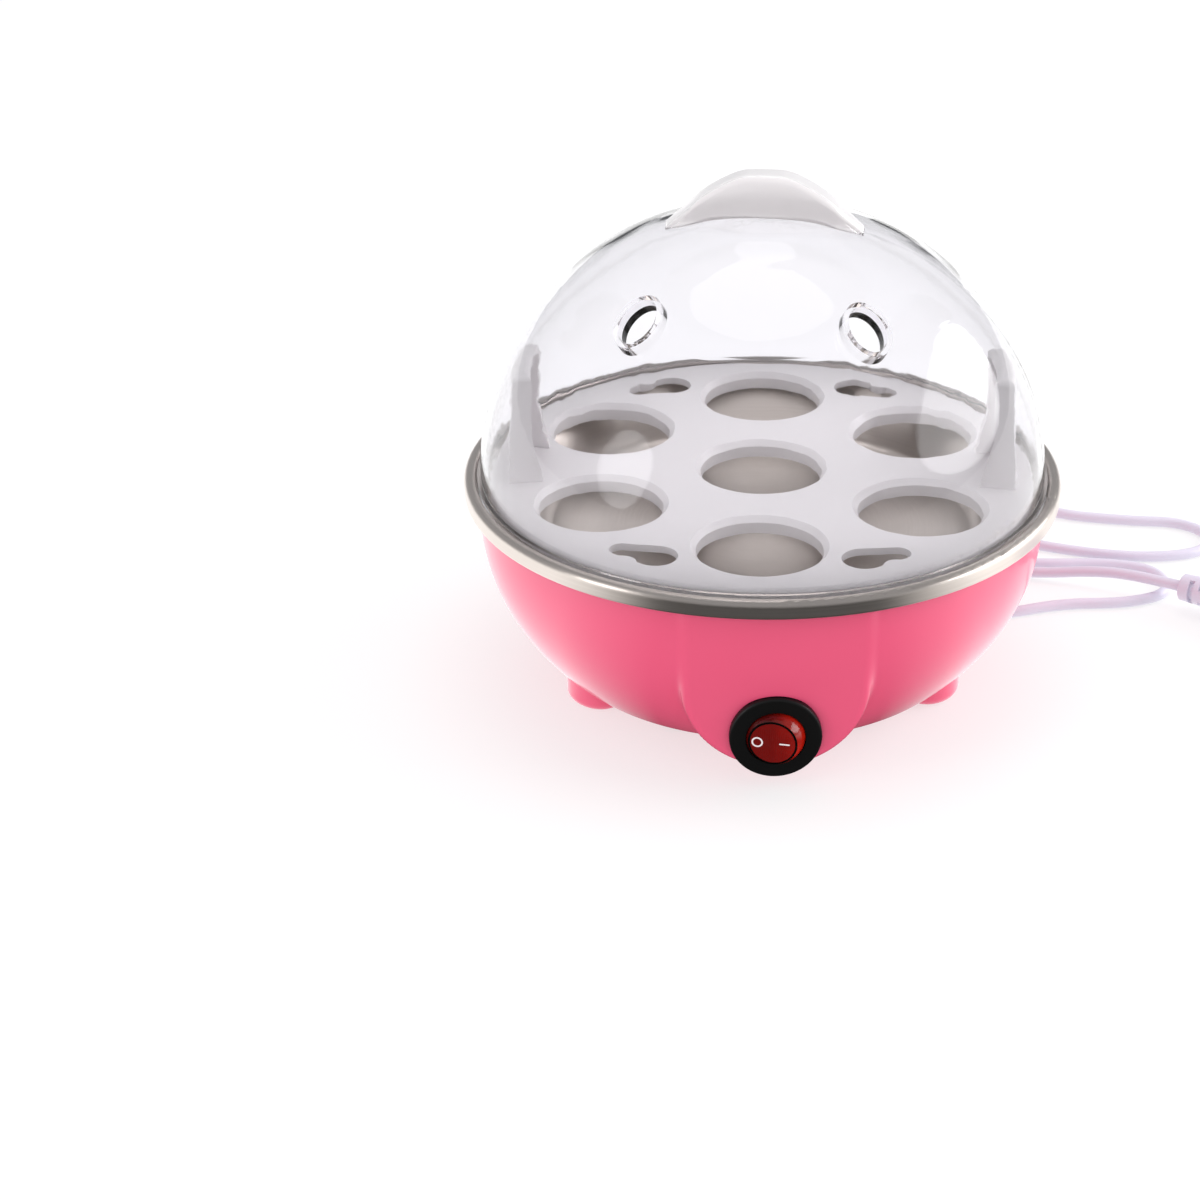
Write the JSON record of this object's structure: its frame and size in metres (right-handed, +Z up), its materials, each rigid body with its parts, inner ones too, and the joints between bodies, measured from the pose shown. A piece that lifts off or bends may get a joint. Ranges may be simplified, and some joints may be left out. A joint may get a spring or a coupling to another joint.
{
  "type": "egg cooker",
  "caption": "Round electric egg boiler: moulded bowl base with a rocker switch, steel water pan, white egg tray, clear domed lid and a loose mains cord.",
  "frame": {"origin": "on the surface it stands on, under the centre of the bowl", "axes": "+Z up, -Y towards the front with the switch, +X to the right seen from the front"},
  "size_m": [0.2713, 0.2471, 0.1436],
  "materials": {
    "pink_shell": "satin moulded plastic",
    "steel": "brushed stainless sheet",
    "zinc": "zinc-plated steel",
    "white_tray": "satin white plastic",
    "clear_lid": "clear polished plastic",
    "black_bezel": "black satin plastic",
    "red_rocker": "translucent red plastic",
    "lamp_glass": "small neon tube",
    "brass": "plain brass",
    "cast_alloy": "as-cast aluminium",
    "tube_sheath": "drawn aluminium tube",
    "thermostat_case": "black phenolic",
    "clear_sleeve": "nylon sleeve",
    "glass_sleeve": "braided glass-fibre sleeve",
    "white_cord": "white PVC",
    "wire_red": "red silicone wire",
    "wire_blue": "blue silicone wire",
    "wire_white": "white silicone wire",
    "nickel": "nickel-plated brass"
  },
  "bodies": {
    "root": {"base_shell": "pink_shell", "heating_pan": "steel", "pan_standoffs": "zinc", "pan_screws": "zinc", "switch_housing": "black_bezel", "switch_terminals": "brass", "terminal_sleeves": "clear_sleeve", "heater_plate": "cast_alloy", "heater_element": "tube_sheath", "element_crimps": "brass", "heater_studs": "zinc", "heater_strap": "zinc", "strap_nuts": "zinc", "thermostat": "thermostat_case", "thermostat_screws": "zinc", "thermal_fuse": "nickel", "fuse_sleeve": "glass_sleeve", "cord_relief": "white_cord", "inner_cord": "white_cord", "cord_crimp": "zinc", "live_wire": "wire_red", "neutral_wire": "wire_blue", "lamp_wire": "wire_blue", "switched_wire": "wire_red", "fuse_wire": "wire_white", "element_wire": "wire_white", "power_cord": "white_cord", "plug_relief": "white_cord", "plug_body": "white_cord", "plug_pins": "nickel"},
    "tray": {"egg_tray": "white_tray"},
    "lid": {"lid_dome": "clear_lid", "lid_handle": "clear_lid"},
    "rocker": {"switch_rocker": "red_rocker", "indicator_lamp": "lamp_glass"},
    "lever": {"rocker_lever": "brass"}
  },
  "joints": [
    {"name": "tray_lift", "type": "slide", "parent": "root", "child": "tray", "axis": [0, 0, 1], "range_m": [0, 0.06]},
    {"name": "lid_lift", "type": "slide", "parent": "tray", "child": "lid", "axis": [0, 0, 1], "range_m": [0, 0.12]},
    {"name": "rocker_tip", "type": "hinge", "parent": "root", "child": "rocker", "pos_m": [0, -0.0713, 0.01573], "axis": [0, -0.061, 0.9981], "range_deg": [0, 24]},
    {"name": "lever_tip", "type": "hinge", "parent": "root", "child": "lever", "pos_m": [0, -0.06262, 0.01626], "axis": [0, -0.061, 0.9981], "range_deg": [-16.1, 0]}
  ],
  "couplings": [
    {"joint": "lever_tip", "follows": "rocker_tip", "ratio": -0.66667}
  ]
}
